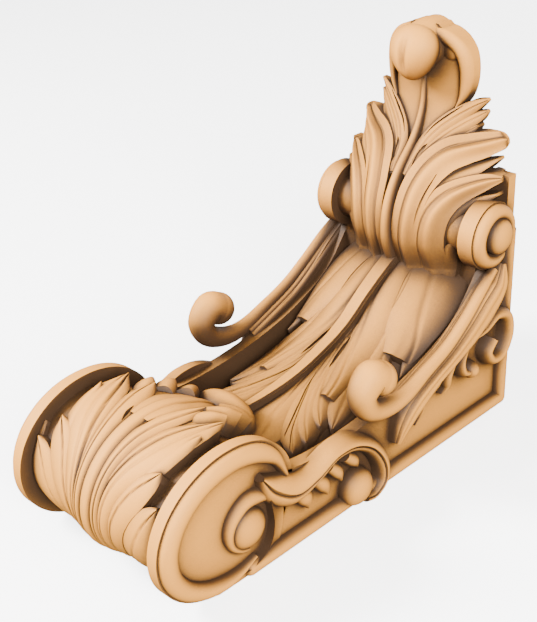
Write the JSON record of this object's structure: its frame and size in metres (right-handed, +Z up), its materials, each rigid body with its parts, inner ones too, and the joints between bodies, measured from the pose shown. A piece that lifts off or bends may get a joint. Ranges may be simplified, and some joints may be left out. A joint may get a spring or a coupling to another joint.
{
  "type": "carved wooden corbel bracket",
  "caption": "Carved wooden corbel: an open concave bracket with a large front volute roll, a small roll at the wall, scrolled sides and acanthus leaves.",
  "frame": {"origin": "fixing point in the middle of the flat wall face, 80 mm above the flat base", "axes": "+Y into the wall, -Y out to the large volute, +Z up towards the leaf's tip, X across the width"},
  "size_m": [0.1501, 0.2948, 0.2443],
  "materials": {
    "carved_wood": "bare, finely sanded, matt"
  },
  "bodies": {
    "root": {"corbel": "carved_wood"}
  },
  "joints": []
}
